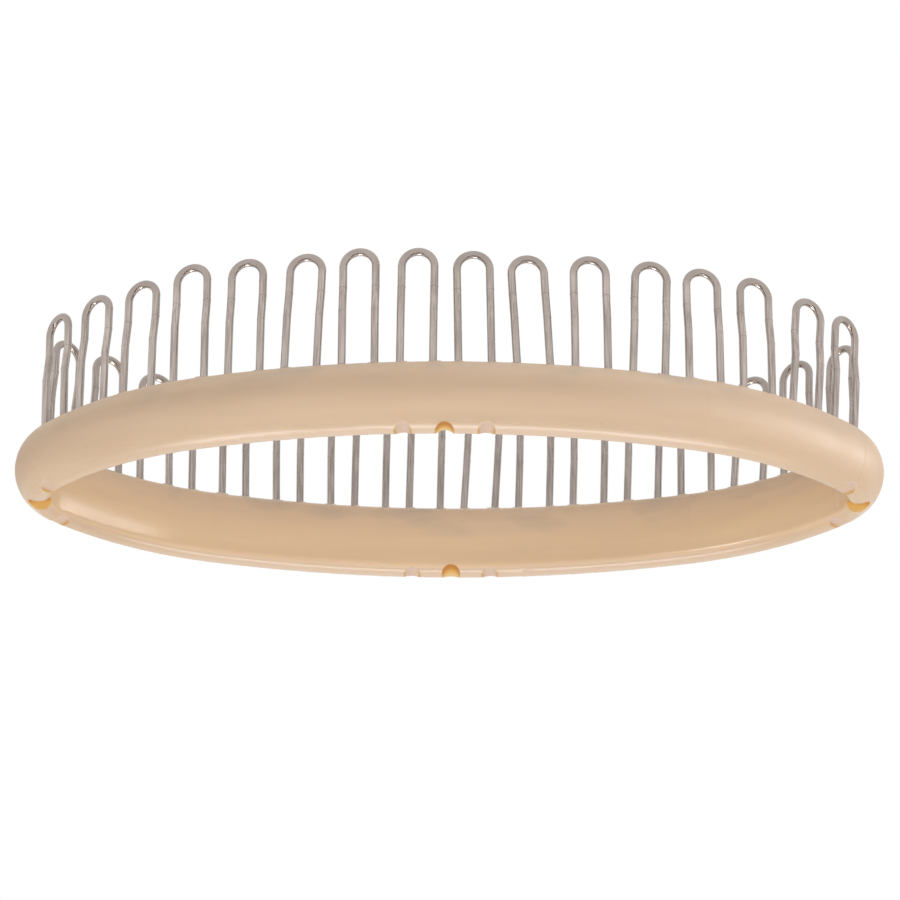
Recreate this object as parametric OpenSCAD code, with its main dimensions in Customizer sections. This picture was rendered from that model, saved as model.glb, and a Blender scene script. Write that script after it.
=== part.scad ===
// Oval peg knitting loom: a moulded plastic ring that carries hairpin wire pegs.
// The ring lies on its foot in the XY plane, long axis along X, front side at -Y, pegs up.
// Everything is placed along the peg line, an oval of eight tangent arcs.

/* [Oval] */
// Radius of the peg line along the front and the back
side_r = 268; // [230:1:320]
// Radius of the peg line round each of the four shoulders
shoulder_r = 99.5; // [80:0.5:130]
// Radius of the peg line round each end
end_r = 14.4; // [12:0.1:24]
// Turn of the peg line from the middle of a side to the shoulder arc, in degrees
side_turn = 16.1; // [12:0.1:20]
// Turn of the peg line from the middle of a side to the end arc, in degrees
shoulder_turn = 46.3; // [40:0.1:54]

/* [Ring section] */
// Height of the ring
ring_h = 23.1; // [18:0.1:30]
// Radius of the rounded crest that holds the pegs
crest_r = 2.9; // [2.4:0.1:4]
// Radius of the rounded foot
foot_r = 3.5; // [2.6:0.1:4.5]
// How far the foot stands outward of the peg line
foot_out = 0.3; // [0:0.1:1]
// Depth to which the foot is flattened, so that the ring rests without rocking
foot_flat = 0.12; // [0.05:0.01:0.4]
// How far the outer face bulges past the straight line from the crest to the foot
outer_bulge = 4.87; // [2:0.01:7]
// How far the inner face bulges past the straight line from the crest to the foot
inner_bulge = 0.79; // [0.3:0.01:2]

/* [Foot notches] */
// Radius of the round grooves that cross the foot
notch_r = 2.8; // [2:0.1:3.4]
// Distance between neighbouring grooves, along the peg line
notch_pitch = 12.1; // [8:0.1:16]
// Depth of the middle groove of each three, on the peg line
middle_notch_depth = 1.9; // [1:0.1:2.4]
// Depth of the two grooves beside it, on the peg line
side_notch_depth = 1.45; // [0.8:0.05:2]
// Rise of the middle groove toward the inside of the ring, in degrees
middle_notch_rise = 7; // [0:1:12]
// Rise of the side grooves toward the outside of the ring, in degrees
side_notch_rise = 3; // [0:1:8]

/* [Pegs] */
// Number of pegs on the front, and again on the back
pegs_per_side = 16; // [8:1:16]
// Distance along the peg line from the last front peg to the last back peg, round an end
end_space = 20.2; // [17:0.1:30]
// Wire thickness
wire_d = 2.35; // [1.6:0.05:2.8]
// Distance between the centres of a peg's two legs
leg_gap = 9.7; // [7:0.1:11]
// Height of a straight peg's top above the crest
peg_h = 38; // [32:0.1:46]
// Depth of the leg sockets in the crest
socket_depth = 11; // [6:0.5:14]
// Radial play of a leg in its socket
socket_play = 0.05; // [0.01:0.01:0.1]
// Outward tilt of every peg, in degrees
peg_tilt = 2; // [0:0.5:4]
// Turn of each of the four end pegs against the ring under it, toward a long side, in degrees
end_peg_turn = 4; // [0:0.5:6]
// How far the head of a peg is set inward by the two bends in each leg
set_in = 1; // [0.4:0.1:2.4]
// Height between the two bends
bend_len = 8.3; // [6:0.1:12]
// Distance from the top of a peg down to the upper bend
bend_below_top = 13; // [9:0.1:15]
// Sideways lean of each front peg toward +X as bent by hand, from -X to +X, in degrees
front_lean = [-1, 0.5, 0.5, -0.5, 0, 1.5, -0.5, 0, -1.5, -3.5, -1, 1.5, -1, -1, 4, 3.5];
// Sideways lean of each back peg toward +X as bent by hand, from -X to +X, in degrees
back_lean = [1, -0.5, -1.5, -1, -1.5, -1, 0, 0.5, 2.5, 1, 1, 1.5, 0, 3.5, 1, 3.5];
// How much taller than a straight peg each front peg stands, from -X to +X
front_extra_h = [-0.1, -0.6, -0.7, 1.4, 0.6, 0.4, 1.1, 0.6, -0.4, -1.3, -0.3, 0, -0.1, 0.4, -0.5, 0.1];
// How much taller than a straight peg each back peg stands, from -X to +X
back_extra_h = [0.7, 1.8, 0.4, 0.4, 0, 0.6, -0.4, 0.2, 0.5, -0.3, 0, 0.7, -0.5, -0.5, 0.3, -1.5];

/* [Hidden] */
ring_fn = 180;
wire_fn = 48;
// The grooves' cutters and the section's outlines reach this far past what they cut
past = 5;
// Arcs of the ring meet inside thin many-sided sleeves of this length, whose sides clear the
// surface by this much and turn by this many degrees or less
joint_len = 0.8;
joint_proud = 0.02;
joint_step = 5;
// The wire swells by this much where it was bent
knuckle_proud = 0.03;
// Lengths that meet in a joint or a knuckle stop this far short of its middle
joint_gap = 0.1;
// The faces of the section lie this far inside the crest and foot, to cross them cleanly
tuck = 0.01;

function peg_name(side, i) = str(side, "_peg_", i < 9 ? "0" : "", i + 1);

// Arc centres of the quarter between the middle of the front and the +X end
shoulder_centre = [
    (side_r - shoulder_r) * sin(side_turn),
    (shoulder_r - end_r) * cos(shoulder_turn)
];
side_centre = [0, shoulder_centre.y + (side_r - shoulder_r) * cos(side_turn)];
end_centre = [shoulder_centre.x + (shoulder_r - end_r) * sin(shoulder_turn), 0];

// Lengths of the peg line along that quarter
side_len = side_r * side_turn * PI / 180;
shoulder_len = shoulder_r * (shoulder_turn - side_turn) * PI / 180;
end_len = end_r * (90 - shoulder_turn) * PI / 180;
quarter_len = side_len + shoulder_len + end_len;

peg_pitch = (2 * quarter_len - end_space) / (pegs_per_side - 1);

// Turn of the peg line at a distance along it from the middle of the front, for distances over 0
function turn_past(s) =
    s < side_len ? s / side_r * 180 / PI
    : s < side_len + shoulder_len ? side_turn + (s - side_len) / shoulder_r * 180 / PI
    : shoulder_turn + (s - side_len - shoulder_len) / end_r * 180 / PI;

function turn_at(s) = s < 0 ? -turn_past(-s) : turn_past(s);

function point_past(s) =
    let (facing = [sin(turn_past(s)), -cos(turn_past(s))])
    s < side_len ? side_centre + side_r * facing
    : s < side_len + shoulder_len ? shoulder_centre + shoulder_r * facing
    : end_centre + end_r * facing;

function point_at(s) = s < 0 ? [-point_past(-s).x, point_past(-s).y] : point_past(s);

// Section of the ring: x is outward from the peg line, y is up
crest_centre = [0, ring_h - crest_r];
foot_centre = [foot_out, foot_r - foot_flat];

span = norm(foot_centre - crest_centre);

// Radius of a face that bulges by so much between the crest and foot circles
function face_r(bulge) = (span^2 / 4 + bulge^2) / (2 * bulge) + (crest_r + foot_r) / 2;

outer_face_r = face_r(outer_bulge);
inner_face_r = face_r(inner_bulge);

// Centre of a circle that touches the crest and foot circles from around them
function face_centre(face_r, hand) =
    let (
        along = (foot_centre - crest_centre) / span,
        across = [-along.y, along.x],
        crest_reach = face_r - crest_r,
        foot_reach = face_r - foot_r,
        step = (crest_reach^2 - foot_reach^2 + span^2) / (2 * span)
    )
    crest_centre + step * along + hand * sqrt(crest_reach^2 - step^2) * across;

outer_face_centre = face_centre(outer_face_r, -1);
inner_face_centre = face_centre(inner_face_r, 1);

function beyond(centre, face_r, through) =
    centre + 2 * face_r * (through - centre) / norm(through - centre);

// The part of the section between the crest and foot circles, where the two faces bound it
module section_web() {
    intersection() {
        translate(outer_face_centre) circle(r = outer_face_r - tuck);
        translate(inner_face_centre) circle(r = inner_face_r - tuck);
        polygon([
            crest_centre,
            beyond(outer_face_centre, outer_face_r, crest_centre),
            outer_face_centre + [2 * outer_face_r, 0],
            beyond(outer_face_centre, outer_face_r, foot_centre),
            foot_centre,
            beyond(inner_face_centre, inner_face_r, foot_centre),
            beyond(inner_face_centre, inner_face_r, crest_centre)
        ]);
    }
}

// The half plane over the flat of the foot
module above_foot() {
    translate([-2 * ring_h, 0]) square([4 * ring_h, ring_h + past]);
}

module section() {
    intersection() {
        union() {
            translate(crest_centre) circle(r = crest_r);
            translate(foot_centre) circle(r = foot_r);
            section_web();
        }
        above_foot();
    }
}

// One arc of the ring, from one turn of the peg line to another, a hair short at each end
module ring_arc(centre, arc_r, from_turn, to_turn) {
    short = joint_gap / arc_r * 180 / PI;
    translate(centre)
        rotate([0, 0, from_turn + short - 90])
            rotate_extrude(angle = to_turn - from_turn - 2 * short, $fn = ring_fn)
                translate([arc_r, 0])
                    section();
}

// Direction from one point to another, in degrees
function facing(from, to) = atan2(to.y - from.y, to.x - from.x);

// Corners of an outline whose straight sides just clear one arc of the section
function corners_round(centre, arc_r, from_angle, to_angle) =
    let (
        count = ceil((to_angle - from_angle) / joint_step),
        step = (to_angle - from_angle) / count,
        reach = (arc_r + joint_proud) / cos(step / 2)
    )
    [for (i = [0 : count - 1])
        let (angle = from_angle + (i + 0.5) * step)
        centre + reach * [cos(angle), sin(angle)]];

// The section in straight sides, a hair larger all round
module sleeve_section() {
    outer_foot = facing(outer_face_centre, foot_centre);
    outer_crest = facing(outer_face_centre, crest_centre);
    inner_crest = facing(inner_face_centre, crest_centre);
    inner_foot = facing(inner_face_centre, foot_centre) + 360;
    intersection() {
        polygon(concat(
            corners_round(outer_face_centre, outer_face_r, outer_foot, outer_crest),
            corners_round(crest_centre, crest_r, outer_crest, inner_crest),
            corners_round(inner_face_centre, inner_face_r, inner_crest, inner_foot),
            corners_round(foot_centre, foot_r, inner_foot, outer_foot + 360)
        ));
        above_foot();
    }
}

// The sleeve that joins the ends of two arcs, on the peg line at the end of the first
module ring_joint(s) {
    on_peg_line(s, 0)
        rotate([90, 0, -90])
            linear_extrude(height = joint_len, center = true)
                sleeve_section();
}

module ring_half() {
    ring_arc(side_centre, side_r, -side_turn, side_turn);
    ring_arc(shoulder_centre, shoulder_r, side_turn, shoulder_turn);
    ring_arc(end_centre, end_r, shoulder_turn, 180 - shoulder_turn);
    on_both_sides() {
        ring_joint(side_len);
        ring_joint(side_len + shoulder_len);
    }
    mirror([0, 1, 0])
        ring_arc(shoulder_centre, shoulder_r, side_turn, shoulder_turn);
}

module ring_body() {
    ring_half();
    rotate([0, 0, 180]) ring_half();
}

// Places things on the peg line, with local X along it and local Y toward the inside
module on_peg_line(s, z) {
    translate([point_at(s).x, point_at(s).y, z])
        rotate([0, 0, turn_at(s)])
            children();
}

module on_both_sides() {
    children();
    mirror([0, 1, 0]) children();
}

// A groove across the foot that rises by so many degrees toward the inside
module notch(s, depth, rise) {
    reach = outer_face_r + past;
    on_peg_line(s, depth - notch_r)
        rotate([rise - 90, 0, 0])
            translate([0, 0, -reach])
                cylinder(r = notch_r, h = 2 * reach, $fn = wire_fn);
}

module notches() {
    on_both_sides() {
        notch(0, middle_notch_depth, middle_notch_rise);
        for (way = [-1, 1]) {
            notch(way * notch_pitch, side_notch_depth, -side_notch_rise);
            notch(way * (quarter_len - notch_pitch), side_notch_depth, -side_notch_rise);
        }
    }
    for (way = [-1, 1])
        notch(way * quarter_len, middle_notch_depth, middle_notch_rise);
}

// The frame of a peg: origin on the crest between its legs, local Z up its legs, local Y toward
// the inside. The legs stand on the peg line, but for the turn of the end pegs.
module peg_frame(i, lean) {
    s = (i - (pegs_per_side - 1) / 2) * peg_pitch;
    foot_a = point_at(s - leg_gap / 2);
    foot_b = point_at(s + leg_gap / 2);
    middle = (foot_a + foot_b) / 2;
    chord = foot_b - foot_a;
    back_turn = i == 0 ? end_peg_turn : i == pegs_per_side - 1 ? -end_peg_turn : 0;
    translate([middle.x, middle.y, ring_h])
        rotate([0, 0, atan2(chord.y, chord.x) + back_turn])
            rotate([peg_tilt, lean, 0])
                children();
}

module sockets(lean) {
    for (i = [0 : pegs_per_side - 1], way = [-1, 1])
        peg_frame(i, lean[i])
            translate([way * leg_gap / 2, 0, -socket_depth])
                cylinder(d = wire_d + 2 * socket_play, h = socket_depth + past, $fn = wire_fn);
}

module ring() {
    color("wheat")
        difference() {
            ring_body();
            notches();
            sockets(front_lean);
            mirror([0, 1, 0]) sockets(back_lean);
        }
}

// The set-in part of a leg slopes by this much, and is this long
slope = atan(set_in / bend_len);
slope_len = norm([set_in, bend_len]);

// A straight length of wire up local Z, a hair short of the knuckle at its end
module wire(length) {
    cylinder(d = wire_d, h = length - joint_gap, $fn = wire_fn);
}

// The spot where the wire was bent, gripped a hair wider than the wire
module knuckle() {
    sphere(d = wire_d + 2 * knuckle_proud, $fn = wire_fn);
}

module peg_leg(head_z) {
    bend_z = head_z + (leg_gap + wire_d) / 2 - bend_below_top - bend_len;
    translate([0, 0, -socket_depth])
        wire(socket_depth + bend_z);
    translate([0, 0, bend_z]) {
        knuckle();
        rotate([-slope, 0, 0])
            translate([0, 0, joint_gap])
                wire(slope_len - joint_gap);
    }
    translate([0, set_in, bend_z + bend_len]) {
        knuckle();
        translate([0, 0, joint_gap])
            wire(head_z - bend_z - bend_len - joint_gap);
    }
    translate([0, set_in, head_z])
        knuckle();
}

// A hairpin of round wire: two legs with two bends each, joined by a half circle
module peg(extra_h) {
    head_z = peg_h + extra_h - (leg_gap + wire_d) / 2;
    for (way = [-1, 1])
        translate([way * leg_gap / 2, 0, 0])
            peg_leg(head_z);
    translate([0, set_in, head_z])
        rotate([90, 0, 0])
            rotate_extrude(angle = 180, $fn = ring_fn)
                translate([leg_gap / 2, 0])
                    circle(d = wire_d, $fn = wire_fn);
}

module front_peg(i) {
    color("silver")
        peg_frame(i, front_lean[i])
            peg(front_extra_h[i]);
}

module back_peg(i) {
    color("silver")
        mirror([0, 1, 0])
            peg_frame(i, back_lean[i])
                peg(back_extra_h[i]);
}

ring();
for (i = [0 : pegs_per_side - 1]) {
    front_peg(i);
    back_peg(i);
}
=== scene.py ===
"""The looks of an oval peg knitting loom: a cream plastic ring with hairpin pegs of steel wire."""
import math
import random
from collections import namedtuple

import bmesh
import bpy
from mathutils import Matrix, Vector


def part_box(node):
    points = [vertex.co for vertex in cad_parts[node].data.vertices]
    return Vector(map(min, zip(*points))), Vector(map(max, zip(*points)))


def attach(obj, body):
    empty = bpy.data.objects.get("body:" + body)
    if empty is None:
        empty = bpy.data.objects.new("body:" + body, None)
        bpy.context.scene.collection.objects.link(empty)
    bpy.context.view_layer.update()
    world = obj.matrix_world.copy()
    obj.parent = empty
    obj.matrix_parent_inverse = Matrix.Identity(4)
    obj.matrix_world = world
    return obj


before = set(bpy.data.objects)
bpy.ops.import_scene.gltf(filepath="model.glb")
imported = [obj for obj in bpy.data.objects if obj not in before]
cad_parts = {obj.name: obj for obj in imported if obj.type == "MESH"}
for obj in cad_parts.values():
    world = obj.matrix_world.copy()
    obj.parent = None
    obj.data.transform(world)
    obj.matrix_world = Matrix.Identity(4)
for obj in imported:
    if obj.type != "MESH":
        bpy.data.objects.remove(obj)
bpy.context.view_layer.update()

MM = 0.001
random.seed(7)

PEGS = sorted(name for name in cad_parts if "_peg_" in name)

# The photograph's view, as fitted to the ring and its pegs. The side and the origin's place are in pixels
PHOTO_SIDE = 900
ORIGIN_AT = (447.9, 506.6)
PIXEL = 0.3 * MM
VIEW_DISTANCE = 3918 * PIXEL
VIEW_BELOW = math.radians(27)
VIEW_TURN = -0.027
VIEW_ROLL = -0.015
SENSOR = 36
NEAREST_SEEN = 10 * MM

# Sizes that the looks share with the CAD model
RING_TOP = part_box("ring")[1].z
CREST_R = 2.9 * MM
KNUCKLE_R = 1.205 * MM
SOCKET_DEPTH = 11 * MM
UPPER_BEND_BELOW_TOP = 13 * MM
LOWER_BEND_BELOW_TOP = 21.3 * MM
SET_IN = 1 * MM
NOTCH_R = 2.8 * MM

# The foot's grooves in one quarter of the ring: where the groove crosses the peg line, how far its
# outer end is turned from +Y toward +X and how steeply it rises inward, both in degrees, and its depth
Groove = namedtuple("Groove", "x y turn rise depth")
GROOVE_ROWS_APART = 47.31 * MM
MIDDLE_GROOVES = (
    Groove(x=0, y=GROOVE_ROWS_APART, turn=0, rise=7, depth=1.9 * MM),
    Groove(x=122.65 * MM, y=0, turn=90, rise=7, depth=1.9 * MM),
)
SIDE_GROOVES = (
    Groove(x=12.1 * MM, y=47.04 * MM, turn=2.6, rise=-3, depth=1.45 * MM),
    Groove(x=117.89 * MM, y=10.75 * MM, turn=45.7, rise=-3, depth=1.45 * MM),
)

# A groove's painted shade fades out between these distances beyond its wall. The middle grooves' shade
# changes over this width, which lies further back at the ring's ends, and the side grooves' between these
# heights
GROOVE_COLOUR_REACH = (0.35 * MM, 0.02 * MM)
GROOVE_SHADE_HALF_WIDTH = 2.4 * MM
END_GROOVES_FROM = (99 * MM, 100 * MM)
END_GROOVE_SHIFT = 1.3 * MM
SIDE_GROOVE_MOUTH = (0.3 * MM, 0.9 * MM)

# Up to these heights the foot carries a pale painted highlight. Its edge and the paler painted highlight of
# the brink under it are soft between these depths below them, and it all fades out between two distances
# from the loom's middle
OUTER_FOOT_TOP = 0.9 * MM
INNER_FOOT_TOP = 1.6 * MM
FOOT_EDGE = (-0.1 * MM, 0.15 * MM)
FOOT_BRINK = (0.4 * MM, 0.15 * MM)
FOOT_HIGHLIGHT_FADES = (70 * MM, 105 * MM)

# Where the outer face turns into the inner one, as the share of the surface's normal that points
# outward, and the inner face's lighter tones of painted light and the foot's polish, as shares of the ring's
# height
FACES_MEET = 0.3
INNER_TONES_FROM = (0.03, 0.07)
FOOT_POLISH = (0.2, 0.05)

# Between these heights the straight wire turns into its heads
WIRE_TURNS = (56 * MM, 53 * MM)

# Tones of the plastic by height, as a share of the ring's height and linear red, green and blue
# The outer tones darken toward the crest: painted shade
OUTER_SHADED_TONES = (
    (0.0, (0.80, 0.58, 0.38)),
    (0.35, (0.75, 0.53, 0.345)),
    (0.75, (0.68, 0.49, 0.33)),
    (1.0, (0.57, 0.415, 0.29)),
)
# The inner tones are lighter and warmer than the outer ones, as painted light, and darken toward the crest,
# as painted shade
INNER_LIT_TONES = (
    (0.0, (1.0, 0.72, 0.45)),
    (0.25, (1.0, 0.71, 0.43)),
    (0.45, (0.96, 0.67, 0.395)),
    (0.7, (0.86, 0.60, 0.375)),
    (1.0, (0.62, 0.445, 0.30)),
)

# Painted shade across a middle groove, from the side nearer the front to the side nearer the back
GROOVE_SHADE_TONES = (
    (0.0, (0.60, 0.25, 0.055)),
    (0.25, (0.66, 0.30, 0.07)),
    (0.6, (0.86, 0.50, 0.14)),
    (1.0, (0.92, 0.66, 0.34)),
)

# What lies over those tones: a colour, and how much of it
Cover = namedtuple("Cover", "colour share")
CLOUD = Cover((0.80, 0.59, 0.42), 0.3)
CREST_GREY = Cover((0.44, 0.36, 0.28), 0.7)
SPECK = Cover((0.38, 0.28, 0.19), 0.4)
# A pale painted highlight along the foot, and a paler one at its brink
FOOT_HIGHLIGHT = Cover((0.93, 0.72, 0.56), 0.35)
BRINK_HIGHLIGHT = Cover((1.0, 0.84, 0.72), 0.15)

# Streaks along the ring: their colour, and how much of it lies on the outer and on the inner face
STREAK = (0.64, 0.44, 0.28)
STREAKS_OUTSIDE = 0.45
STREAKS_INSIDE = 0.25

# Other colours, as linear red, green and blue
# Painted shade in the side grooves: ochre toward their mouth, paler further in
SIDE_GROOVE_SHADE_LOW = (0.74, 0.46, 0.18)
SIDE_GROOVE_SHADE_DEEP = (0.80, 0.60, 0.46)
STEEL = (0.57, 0.495, 0.45)
DULL_STEEL = (0.47, 0.405, 0.365)
DARK_STEEL = (0.28, 0.235, 0.21)
CREASE = (0.27, 0.23, 0.205)
FLOOR = (0.86, 0.86, 0.85)
WHITE = (1.0, 1.0, 1.0)

# How much dark steel lies in the drawn lines of the legs and all over the heads
LINE_DARKNESS = 0.7
HEAD_DARKNESS = 0.45

# Roughness from place to place, and how much less it is on polished plastic and on the heads
PLASTIC_ROUGHNESS = (0.52, 0.6)
PLASTIC_POLISH = 0.34
WIRE_ROUGHNESS = (0.18, 0.26)
HEAD_POLISH = 0.08

# How strongly the plastic mirrors, on its open faces and in its matt grooves
OPEN_SPECULAR = 0.65
GROOVE_SPECULAR = 0.15

# Dark specks in the plastic: a cell's size, a speck's radius and the share of the cells that have one
SPECK_CELL = 9 * MM
SPECK_R = 0.35 * MM
SPECK_SHARE = 0.3

# The flat ends of a peg's wire: how steeply their faces point down, and how far apart in height they lie
END_FACES_DOWN = -0.9
ENDS_WITHIN = 1 * MM

# The fine lines at the bends
WIRE_STEPS = 24
CREASE_SIDES = 6
CREASE_R = 0.04 * MM
FAINT_CREASE_R = 0.02 * MM

# The lips round the sockets: their height, their profile as radius and share of that height, the
# radius up to which they stay round, and the spans from which each lip's height and width are picked
LIP_H = 0.3 * MM
LIP_PROFILE = (
    (1.0 * MM, 0.7),
    (1.25 * MM, 1.0),
    (1.5 * MM, 0.75),
    (1.75 * MM, 0.25),
    (1.95 * MM, -0.3),
)
LIP_ROUND_WITHIN = 1.25 * MM
LIP_HEIGHTS = (0.6, 1.3)
LIP_WIDTHS = (0.9, 1.25)

# The floor lies a hair under the foot, so that their faces don't meet
FLOOR_HALF = 3.0
FLOOR_DROP = 0.05 * MM

# The even fill's strength from straight below and from straight above
WORLD_BELOW = 0.58
WORLD_ABOVE = 0.45

# From this share of its half sizes outward, a shade fades out
SHADE_FADES_FROM = 0.7


def add_camera():
    """The camera looks up at the ring from below its front, as the photograph does."""
    across = Vector((math.cos(VIEW_TURN), -math.sin(VIEW_TURN), 0))
    away = Vector((math.sin(VIEW_TURN), math.cos(VIEW_TURN), 0))
    sight = math.cos(VIEW_BELOW) * away + math.sin(VIEW_BELOW) * Vector((0, 0, 1))
    lift = across.cross(sight).normalized()
    right = math.cos(VIEW_ROLL) * across - math.sin(VIEW_ROLL) * lift
    up = math.sin(VIEW_ROLL) * across + math.cos(VIEW_ROLL) * lift
    data = bpy.data.cameras.new("camera")
    data.sensor_width = SENSOR
    data.lens = SENSOR * VIEW_DISTANCE / (PHOTO_SIDE * PIXEL)
    data.shift_x = (PHOTO_SIDE / 2 - ORIGIN_AT[0]) / PHOTO_SIDE
    data.shift_y = (ORIGIN_AT[1] - PHOTO_SIDE / 2) / PHOTO_SIDE
    data.clip_start = NEAREST_SEEN
    turned = Matrix((right, up, -sight)).transposed().to_4x4()
    camera = bpy.data.objects.new("camera", data)
    camera.matrix_world = Matrix.Translation(-VIEW_DISTANCE * sight) @ turned
    bpy.context.scene.collection.objects.link(camera)
    bpy.context.scene.camera = camera


class Nodes:
    """A short way to write a node tree."""

    def __init__(self, tree):
        self.tree = tree
        tree.nodes.clear()

    def add(self, kind, sockets=None, **settings):
        node = self.tree.nodes.new(kind)
        for key, value in settings.items():
            setattr(node, key, value)
        for key, value in (sockets or {}).items():
            if isinstance(value, bpy.types.NodeSocket):
                self.tree.links.new(value, node.inputs[key])
            else:
                node.inputs[key].default_value = value
        return node

    def coordinates(self, kind):
        return self.add("ShaderNodeTexCoord").outputs[kind]

    def along(self, vector, axis):
        return self.add("ShaderNodeSeparateXYZ", {"Vector": vector}).outputs[axis]

    def math(self, operation, a, b, c=0.0, clamp=False):
        node = self.add("ShaderNodeMath", {0: a, 1: b, 2: c}, operation=operation, use_clamp=clamp)
        return node.outputs[0]

    def vector(self, operation, a, b=(0, 0, 0)):
        return self.add("ShaderNodeVectorMath", {0: a, 1: b}, operation=operation).outputs["Vector"]

    def vector_number(self, operation, a, b=(0, 0, 0)):
        return self.add("ShaderNodeVectorMath", {0: a, 1: b}, operation=operation).outputs["Value"]

    def noise(self, where, scale, detail, roughness=0.5):
        node = self.add("ShaderNodeTexNoise", {
            "Vector": where, "Scale": scale, "Detail": detail, "Roughness": roughness,
        })
        return node.outputs["Fac"]

    def stretched_noise(self, where, scales, detail, roughness=0.5):
        """Noise with its own scale along each axis."""
        stretched = self.add("ShaderNodeMapping", {"Vector": where, "Scale": scales}).outputs["Vector"]
        return self.noise(stretched, 1.0, detail, roughness)

    def ramp(self, factor, stops):
        node = self.add("ShaderNodeValToRGB", {"Fac": factor})
        elements = node.color_ramp.elements
        while len(elements) < len(stops):
            elements.new(0.5)
        for element, (position, colour) in zip(elements, stops):
            element.position = position
            element.color = (*colour, 1)
        return node.outputs["Color"]

    def span(self, value, low, high, to_low=0.0, to_high=1.0):
        """The value carried from one span to another, and held at its ends."""
        node = self.add("ShaderNodeMapRange", {
            "Value": value, "From Min": low, "From Max": high, "To Min": to_low, "To Max": to_high,
        })
        return node.outputs["Result"]

    def specks(self, where, cell, radius, share):
        """1 on small round specks, one in some of the cells."""
        node = self.add("ShaderNodeTexVoronoi", {"Vector": where, "Scale": 1 / cell})
        chosen = self.add("ShaderNodeSeparateColor", {"Color": node.outputs["Color"]}).outputs["Red"]
        chosen = self.math("LESS_THAN", chosen, share)
        near = self.span(node.outputs["Distance"], radius / cell, 0.4 * radius / cell)
        return self.math("MULTIPLY", chosen, near)

    def mix(self, factor, a, b):
        node = self.add("ShaderNodeMix", data_type="RGBA")
        for socket, value in ((node.inputs[0], factor), (node.inputs[6], a), (node.inputs[7], b)):
            if isinstance(value, bpy.types.NodeSocket):
                self.tree.links.new(value, socket)
            else:
                socket.default_value = value if isinstance(value, float) else (*value, 1)
        return node.outputs[2]

    def cover(self, body, mask, cover):
        """The cover's colour laid over the body where the mask is 1."""
        return self.mix(self.math("MULTIPLY", mask, cover.share), body, cover.colour)

    def bump(self, height, depth, strength, under=None):
        sockets = {"Height": height, "Distance": depth, "Strength": strength}
        if under is not None:
            sockets["Normal"] = under
        return self.add("ShaderNodeBump", sockets).outputs["Normal"]


def new_material(name):
    material = bpy.data.materials.new(name)
    material.use_nodes = True
    return material, Nodes(material.node_tree)


def finish_material(nodes, sockets):
    shader = nodes.add("ShaderNodeBsdfPrincipled", sockets)
    nodes.add("ShaderNodeOutputMaterial", {"Surface": shader.outputs["BSDF"]})


def distance_to_groove(nodes, folded, groove):
    """How far a point of the folded ring lies from the axis of a groove."""
    turn = math.radians(groove.turn)
    rise = math.radians(groove.rise)
    middle = (groove.x, groove.y, groove.depth - NOTCH_R)
    axis = Vector((-math.sin(turn), -math.cos(turn), math.tan(rise))).normalized()
    from_middle = nodes.vector("SUBTRACT", folded, middle)
    return nodes.vector_number("LENGTH", nodes.vector("CROSS_PRODUCT", from_middle, tuple(axis)))


def in_grooves(nodes, where, grooves):
    """1 on the walls of those two grooves and their mirror images, 0 a hair outside."""
    folded = nodes.vector("ABSOLUTE", where)
    first, second = (distance_to_groove(nodes, folded, groove) for groove in grooves)
    beyond_wall = nodes.math("SUBTRACT", nodes.math("MINIMUM", first, second), NOTCH_R)
    return nodes.span(beyond_wall, *GROOVE_COLOUR_REACH)


def toward_ends(nodes, where, start, end):
    """0 along the sides of the ring, rising to 1 toward its two ends between those distances."""
    return nodes.span(nodes.math("ABSOLUTE", nodes.along(where, "X"), 0.0), start, end)


def facing_out(nodes, where):
    """How far the ring's surface faces outward, from 1 on its outer face to -1 on its inner face."""
    outward = nodes.vector("NORMALIZE", nodes.vector("MULTIPLY", where, (1, 1, 0)))
    return nodes.vector_number("DOT_PRODUCT", nodes.coordinates("Normal"), outward)


def uneven_tones(nodes, body, where, level, inside):
    """Pale clouds, faint streaks along the ring, grey patches toward the crest and dark specks."""
    cloud = nodes.span(nodes.noise(where, scale=22.0, detail=2.0), 0.3, 0.75)
    body = nodes.cover(body, cloud, CLOUD)
    streak = nodes.span(nodes.stretched_noise(where, scales=(8, 30, 130), detail=2.0), 0.4, 0.7)
    share = nodes.span(inside, 0.0, 1.0, STREAKS_OUTSIDE, STREAKS_INSIDE)
    body = nodes.mix(nodes.math("MULTIPLY", streak, share), body, STREAK)
    crest_grey = nodes.stretched_noise(where, scales=(55, 70, 120), detail=2.5, roughness=0.4)
    near_crest = nodes.span(level, 0.4, 1.0)
    crest_grey = nodes.math("MULTIPLY", nodes.span(crest_grey, 0.48, 0.75), near_crest)
    body = nodes.cover(body, crest_grey, CREST_GREY)
    return nodes.cover(body, nodes.specks(where, SPECK_CELL, SPECK_R, SPECK_SHARE), SPECK)


def painted_foot_highlight(nodes, body, where, height, outward):
    """A pale painted highlight along the foot on the two sides of the ring, palest at its brink."""
    foot_top = nodes.span(outward, -FACES_MEET, FACES_MEET, INNER_FOOT_TOP, OUTER_FOOT_TOP)
    below_top = nodes.math("SUBTRACT", foot_top, height)
    along_sides = nodes.math("SUBTRACT", 1.0, toward_ends(nodes, where, *FOOT_HIGHLIGHT_FADES))
    foot_highlight = nodes.math("MULTIPLY", nodes.span(below_top, *FOOT_EDGE), along_sides)
    body = nodes.cover(body, foot_highlight, FOOT_HIGHLIGHT)
    brink_highlight = nodes.math("MULTIPLY", foot_highlight, nodes.span(below_top, *FOOT_BRINK))
    return nodes.cover(body, brink_highlight, BRINK_HIGHLIGHT)


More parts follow.
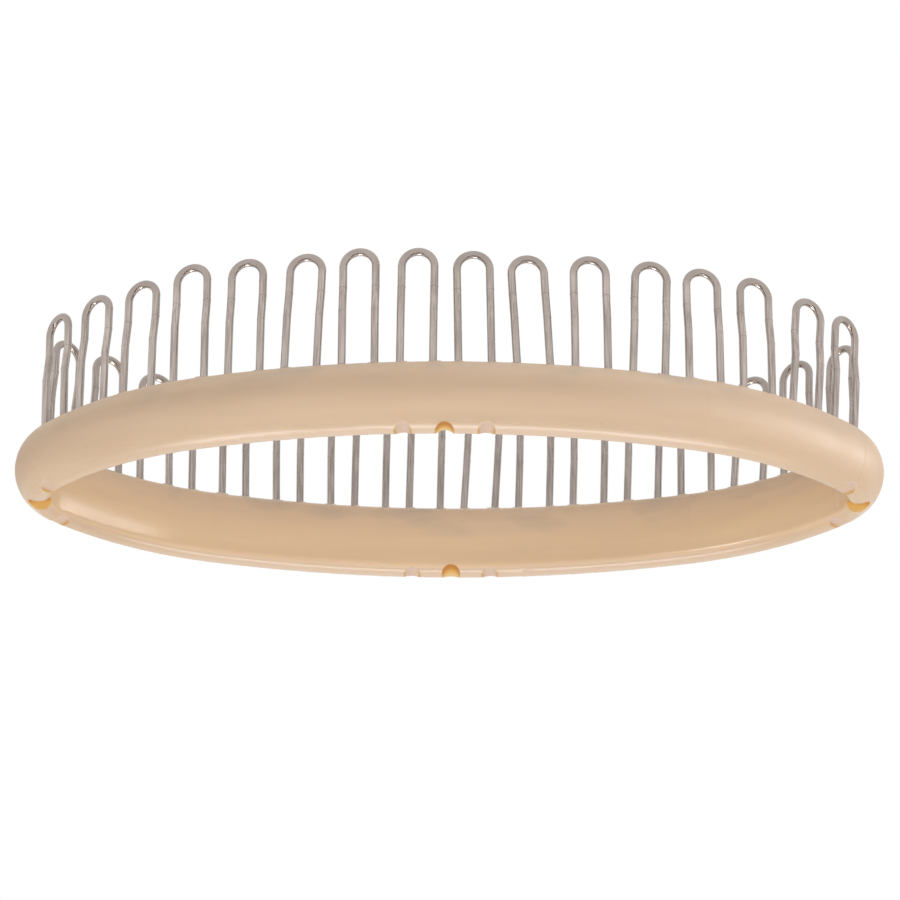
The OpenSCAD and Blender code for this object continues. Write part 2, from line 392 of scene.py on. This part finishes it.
def painted_groove_shade(nodes, where):
    """The middle grooves' painted shade, darkest toward the front. At the ring's ends it lies further back.
    """
    row = nodes.math("WRAP", nodes.along(where, "Y"), 0.5 * GROOVE_ROWS_APART, -0.5 * GROOVE_ROWS_APART)
    shift = nodes.math("MULTIPLY", toward_ends(nodes, where, *END_GROOVES_FROM), END_GROOVE_SHIFT)
    across = nodes.math("SUBTRACT", row, shift)
    return nodes.ramp(nodes.span(across, -GROOVE_SHADE_HALF_WIDTH, GROOVE_SHADE_HALF_WIDTH), GROOVE_SHADE_TONES)


def ring_plastic():
    """Smooth cream plastic, a little translucent, glossier on its inner face and foot; painted light and
    shade.
    """
    material, nodes = new_material("cream_plastic")
    where = nodes.coordinates("Object")
    height = nodes.along(where, "Z")
    level = nodes.span(height, 0.0, RING_TOP)
    outward = facing_out(nodes, where)
    inward = nodes.span(outward, FACES_MEET, -FACES_MEET)
    inside = nodes.math("MULTIPLY", inward, nodes.span(level, *INNER_TONES_FROM))
    # Painted shade darkens the tones toward the crest, and painted light makes the inner face lighter and
    # warmer
    body = nodes.mix(inside, nodes.ramp(level, OUTER_SHADED_TONES), nodes.ramp(level, INNER_LIT_TONES))
    body = uneven_tones(nodes, body, where, level, inside)
    # Painted highlight along the foot
    body = painted_foot_highlight(nodes, body, where, height, outward)
    in_middle = in_grooves(nodes, where, MIDDLE_GROOVES)
    in_sides = in_grooves(nodes, where, SIDE_GROOVES)
    # Painted shade in the middle grooves
    body = nodes.mix(in_middle, body, painted_groove_shade(nodes, where))
    # Painted shade in the side grooves, ochre toward their mouth
    pale = nodes.mix(nodes.span(height, *SIDE_GROOVE_MOUTH), SIDE_GROOVE_SHADE_LOW, SIDE_GROOVE_SHADE_DEEP)
    body = nodes.mix(in_sides, body, pale)
    grooved = nodes.math("MAXIMUM", in_middle, in_sides)
    polished = nodes.math("MAXIMUM", inside, nodes.span(level, *FOOT_POLISH))
    sheen = nodes.math("MULTIPLY", polished, nodes.span(grooved, 0.0, 1.0, PLASTIC_POLISH, 0.0))
    roughness = nodes.span(nodes.noise(where, scale=120.0, detail=5.0), 0.3, 0.7, *PLASTIC_ROUGHNESS)
    waves = nodes.bump(nodes.stretched_noise(where, scales=(25, 25, 60), detail=1.0), 0.2 * MM, 0.5)
    grain = nodes.noise(where, scale=2500.0, detail=3.0)
    finish_material(nodes, {
        "Base Color": body,
        "Roughness": nodes.math("SUBTRACT", roughness, sheen),
        "Normal": nodes.bump(grain, 0.01 * MM, 0.4, under=waves),
        "Subsurface Weight": 0.2,
        "Subsurface Radius": (1.0, 0.55, 0.25),
        "Subsurface Scale": 2.5 * MM,
        "Specular IOR Level": nodes.span(grooved, 0.0, 1.0, OPEN_SPECULAR, GROOVE_SPECULAR),
    })
    return material


def steel_wire():
    """Drawn stainless wire, dulled, with fine lines along its legs. Its heads are darker and smoother."""
    material, nodes = new_material("drawn_wire")
    where = nodes.coordinates("Object")
    straight = nodes.span(nodes.along(where, "Z"), *WIRE_TURNS)
    lines = nodes.stretched_noise(where, scales=(2600, 2600, 45), detail=2.0)
    patch = nodes.stretched_noise(where, scales=(200, 200, 100), detail=3.0)
    colour = nodes.mix(nodes.span(patch, 0.35, 0.65), STEEL, DULL_STEEL)
    drawn = nodes.math("MULTIPLY", nodes.span(lines, 0.42, 0.68, 0.0, LINE_DARKNESS), straight)
    darker = nodes.math("ADD", drawn, nodes.span(straight, 1.0, 0.0, 0.0, HEAD_DARKNESS))
    roughness = nodes.span(patch, 0.3, 0.7, *WIRE_ROUGHNESS)
    polish = nodes.span(straight, 1.0, 0.0, 0.0, HEAD_POLISH)
    finish_material(nodes, {
        "Base Color": nodes.mix(darker, colour, DARK_STEEL),
        "Metallic": 1.0,
        "Roughness": nodes.math("SUBTRACT", roughness, polish),
        "Normal": nodes.bump(nodes.math("MULTIPLY", lines, straight), 0.006 * MM, 0.15),
    })
    return material


def crease_steel():
    material, nodes = new_material("creased_steel")
    finish_material(nodes, {"Base Color": (*CREASE, 1), "Metallic": 1.0, "Roughness": 0.4})
    return material


def add_world():
    """White to the eye and in reflections, and a soft even fill that is a little stronger from below."""
    world = bpy.data.worlds.new("studio")
    world.use_nodes = True
    bpy.context.scene.world = world
    nodes = Nodes(world.node_tree)
    path = nodes.add("ShaderNodeLightPath").outputs
    seen = nodes.math("ADD", path["Is Camera Ray"], path["Is Glossy Ray"])
    seen = nodes.math("ADD", seen, path["Is Transmission Ray"], clamp=True)
    tilt = nodes.along(nodes.coordinates("Generated"), "Z")
    strength = nodes.span(tilt, -1.0, 1.0, WORLD_BELOW, WORLD_ABOVE)
    white = nodes.add("ShaderNodeBackground", {"Color": (*WHITE, 1), "Strength": 1.0})
    fill = nodes.add("ShaderNodeBackground", {"Color": (*WHITE, 1), "Strength": strength})
    both = nodes.add("ShaderNodeMixShader", {0: seen, 1: fill.outputs[0], 2: white.outputs[0]})
    nodes.add("ShaderNodeOutputWorld", {"Surface": both.outputs[0]})


def add_lamp(name, direction, distance, size, power, lights=True, mirrored=True):
    """A soft lamp that faces the loom from there. It lights the loom, shows in its gloss, or both."""
    data = bpy.data.lights.new(name, "AREA")
    data.shape = "RECTANGLE"
    data.size, data.size_y = size
    data.energy = power
    lamp = bpy.data.objects.new(name, data)
    toward = Vector(direction).normalized()
    lamp.location = toward * distance
    lamp.visible_diffuse = lights
    lamp.visible_glossy = mirrored
    lamp.rotation_euler = toward.to_track_quat("Z", "Y").to_euler()
    bpy.context.scene.collection.objects.link(lamp)
    return lamp


def reach_only(lamps, name, pieces):
    """Keep the light of these lamps to these pieces."""
    collection = bpy.data.collections.new(name)
    for piece in pieces:
        collection.objects.link(piece)
    for lamp in lamps:
        lamp.light_linking.receiver_collection = collection


def flat_mesh(name, half_x, half_y, material):
    mesh = bpy.data.meshes.new(name)
    corners = [(-half_x, -half_y, 0), (half_x, -half_y, 0), (half_x, half_y, 0), (-half_x, half_y, 0)]
    mesh.from_pydata(corners, [], [(0, 1, 2, 3)])
    mesh.materials.append(material)
    return mesh


def floor_material():
    """Pale and plain to the eye from above. It is clear from below, because the photograph looks up
    at the loom, and clear to light and reflections on their way."""
    material, nodes = new_material("pale_floor")
    seen = nodes.add("ShaderNodeLightPath").outputs["Is Camera Ray"]
    behind = nodes.add("ShaderNodeNewGeometry").outputs["Backfacing"]
    shown = nodes.math("MULTIPLY", seen, nodes.math("SUBTRACT", 1.0, behind))
    clear = nodes.add("ShaderNodeBsdfTransparent")
    pale = nodes.add("ShaderNodeBsdfDiffuse", {"Color": (*FLOOR, 1)})
    both = nodes.add("ShaderNodeMixShader", {0: shown, 1: clear.outputs[0], 2: pale.outputs[0]})
    nodes.add("ShaderNodeOutputMaterial", {"Surface": both.outputs[0]})
    return material


def add_floor():
    floor = bpy.data.objects.new("floor", flat_mesh("floor", FLOOR_HALF, FLOOR_HALF, floor_material()))
    floor.location.z = -FLOOR_DROP
    bpy.context.scene.collection.objects.link(floor)


def add_shade(name, centre, half_x, half_y, passes):
    """A soft oval patch that dims what is mirrored behind it. Only reflections meet it."""
    material, nodes = new_material(name)
    where = nodes.coordinates("Object")
    from_middle = nodes.vector_number("LENGTH", nodes.vector("MULTIPLY", where, (1 / half_x, 1 / half_y, 0)))
    mirrored = nodes.add("ShaderNodeLightPath").outputs["Is Glossy Ray"]
    shaded = nodes.math("MULTIPLY", mirrored, nodes.span(from_middle, 1.0, SHADE_FADES_FROM))
    tint = nodes.mix(shaded, WHITE, (passes, passes, passes))
    clear = nodes.add("ShaderNodeBsdfTransparent", {"Color": tint})
    nodes.add("ShaderNodeOutputMaterial", {"Surface": clear.outputs[0]})
    shade = bpy.data.objects.new(name, flat_mesh(name, half_x, half_y, material))
    shade.location = centre
    bpy.context.scene.collection.objects.link(shade)


def add_piece(name, bm, material):
    """A thin extra of the object, smooth and fixed to the loom."""
    mesh = bpy.data.meshes.new(name)
    bm.to_mesh(mesh)
    bm.free()
    for polygon in mesh.polygons:
        polygon.use_smooth = True
    mesh.materials.append(material)
    piece = bpy.data.objects.new(name, mesh)
    bpy.context.scene.collection.objects.link(piece)
    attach(piece, "root")
    return piece


class Leg:
    """One leg of a peg, read from the flat end of its wire at the bottom of its socket."""

    def __init__(self, faces):
        area = sum(face.area for face in faces)
        end = sum((face.area * face.center for face in faces), Vector()) / area
        self.axis = -sum((face.area * face.normal for face in faces), Vector()).normalized()
        self.foot = end + SOCKET_DEPTH * self.axis


def legs_of(peg):
    """The peg's two legs, the one nearer -X first."""
    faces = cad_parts[peg].data.polygons
    highest = min(face.center.z for face in faces) + ENDS_WITHIN
    ends = [face for face in faces if face.normal.z < END_FACES_DOWN and face.center.z < highest]
    middle = (min(face.center.x for face in ends) + max(face.center.x for face in ends)) / 2
    return (
        Leg([face for face in ends if face.center.x < middle]),
        Leg([face for face in ends if face.center.x >= middle]),
    )


def inward_of(legs):
    """The unit vector that is square to both legs and points toward the inside of the ring."""
    along = (legs[1].foot - legs[0].foot).normalized()
    inward = legs[0].axis.cross(along)
    return -inward if inward.dot(legs[0].foot) > 0 else inward


def turns(count):
    """Angles that go once round in equal steps."""
    return [2 * math.pi * step / count for step in range(count)]


def skin(bm, loops, closed):
    """Faces between each loop of points and the next, and in a closed skin from the last to the first."""
    pairs = list(zip(loops, loops[1:]))
    if closed:
        pairs.append((loops[-1], loops[0]))
    for lower, upper in pairs:
        for step in range(WIRE_STEPS):
            after = (step + 1) % WIRE_STEPS
            bm.faces.new((lower[step], lower[after], upper[after], upper[step]))


def crease(bm, centre, axis, thickness):
    """A fine line pressed round the wire where the bending tool gripped it."""
    side = axis.orthogonal().normalized()
    other = axis.cross(side)
    loops = []
    for around_line in turns(CREASE_SIDES):
        radius = KNUCKLE_R + thickness * math.cos(around_line)
        height = thickness * math.sin(around_line)
        loop = []
        for angle in turns(WIRE_STEPS):
            spoke = math.cos(angle) * side + math.sin(angle) * other
            loop.append(bm.verts.new(centre + radius * spoke + height * axis))
        loops.append(loop)
    skin(bm, loops, True)


def add_creases(material):
    bm = bmesh.new()
    for peg in PEGS:
        legs = legs_of(peg)
        inward = inward_of(legs)
        for leg in legs:
            rise = (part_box(peg)[1].z - RING_TOP - SET_IN * inward.z) / leg.axis.z
            lower = leg.foot + (rise - LOWER_BEND_BELOW_TOP) * leg.axis
            upper = leg.foot + (rise - UPPER_BEND_BELOW_TOP) * leg.axis + SET_IN * inward
            crease(bm, lower, leg.axis, FAINT_CREASE_R)
            crease(bm, upper, leg.axis, CREASE_R)
    return add_piece("bend_creases", bm, material)


def lip(bm, foot, inward):
    """Plastic that welled up round a leg when it was pressed in, a little uneven."""
    lean = random.uniform(0, 2 * math.pi)
    tall = random.uniform(*LIP_HEIGHTS) * LIP_H
    wide = random.uniform(*LIP_WIDTHS)
    up = Vector((0, 0, 1))
    side = inward.cross(up).normalized()
    across = up.cross(side)
    loops = []
    for radius, share in LIP_PROFILE:
        loop = []
        for angle in turns(WIRE_STEPS):
            uneven = 1 + 0.3 * math.sin(angle + lean) + 0.15 * math.sin(3 * angle + 2 * lean)
            reach = radius * wide * uneven if radius > LIP_ROUND_WITHIN else radius
            offset = reach * math.sin(angle)
            drop = CREST_R - math.sqrt(max(CREST_R ** 2 - offset ** 2, 0))
            stand = tall * uneven * share if share > 0 else LIP_H * share
            point = foot + reach * math.cos(angle) * side + offset * across
            point.z = RING_TOP - drop + stand
            loop.append(bm.verts.new(point))
        loops.append(loop)
    skin(bm, loops, False)


def add_lips(material):
    bm = bmesh.new()
    for peg in PEGS:
        legs = legs_of(peg)
        inward = inward_of(legs)
        for leg in legs:
            lip(bm, leg.foot, inward)
    return add_piece("socket_lips", bm, material)


add_camera()
add_world()
add_floor()
add_shade("shade_over_pegs", centre=(0, 0, 64 * MM), half_x=125 * MM, half_y=50 * MM, passes=0.72)
add_shade("shade_below", centre=(0, -320 * MM, -500 * MM), half_x=900 * MM, half_y=200 * MM, passes=0.2)

# Lamps, with their distances and sizes in metres and their power in watts
add_lamp("under_front", direction=(0, -0.15, -1.0), distance=1.2, size=(1.2, 0.4), power=5.2)
add_lamp("front", direction=(0, -1, 0.4), distance=1.3, size=(1.5, 0.8), power=3.2, mirrored=False)
add_lamp("over", direction=(0.2, 0.2, 1.0), distance=1.4, size=(1.0, 1.0), power=6, mirrored=False)
right_lamp = add_lamp(
    "right", direction=(0.93, -0.35, 0.12), distance=1.2, size=(1.4, 0.25), power=3.7, mirrored=False
)
add_lamp("left", direction=(-1, -0.6, -0.3), distance=1.2, size=(0.6, 0.6), power=0.6, mirrored=False)

# Windows that light nothing and show in the gloss alone
head_window = add_lamp(
    "head_window", direction=(-0.2, 0.42, -0.9), distance=1.2, size=(0.6, 0.25), power=4, lights=False
)
right_window = add_lamp(
    "right_window", direction=(0.96, -0.28, 0.16), distance=1.2, size=(1.4, 0.4), power=15, lights=False
)
left_window = add_lamp(
    "left_window", direction=(-0.58, -0.72, -0.12), distance=1.2, size=(0.5, 0.12), power=2.6, lights=False
)

plastic = ring_plastic()
wire = steel_wire()
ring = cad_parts["ring"]
ring.material_slots[0].material = plastic
pegs = [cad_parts[peg] for peg in PEGS]
for peg in pegs:
    peg.material_slots[0].material = wire
creases = add_creases(crease_steel())
lips = add_lips(plastic)

# The windows show in one material each, and the low lamp on the right doesn't burn out the floor
reach_only((right_window, left_window), "plastic_pieces", (ring, lips))
reach_only((head_window,), "steel_pieces", pegs)
reach_only((right_lamp,), "loom_pieces", (ring, lips, creases, *pegs))

bpy.context.scene.view_settings.view_transform = "Standard"
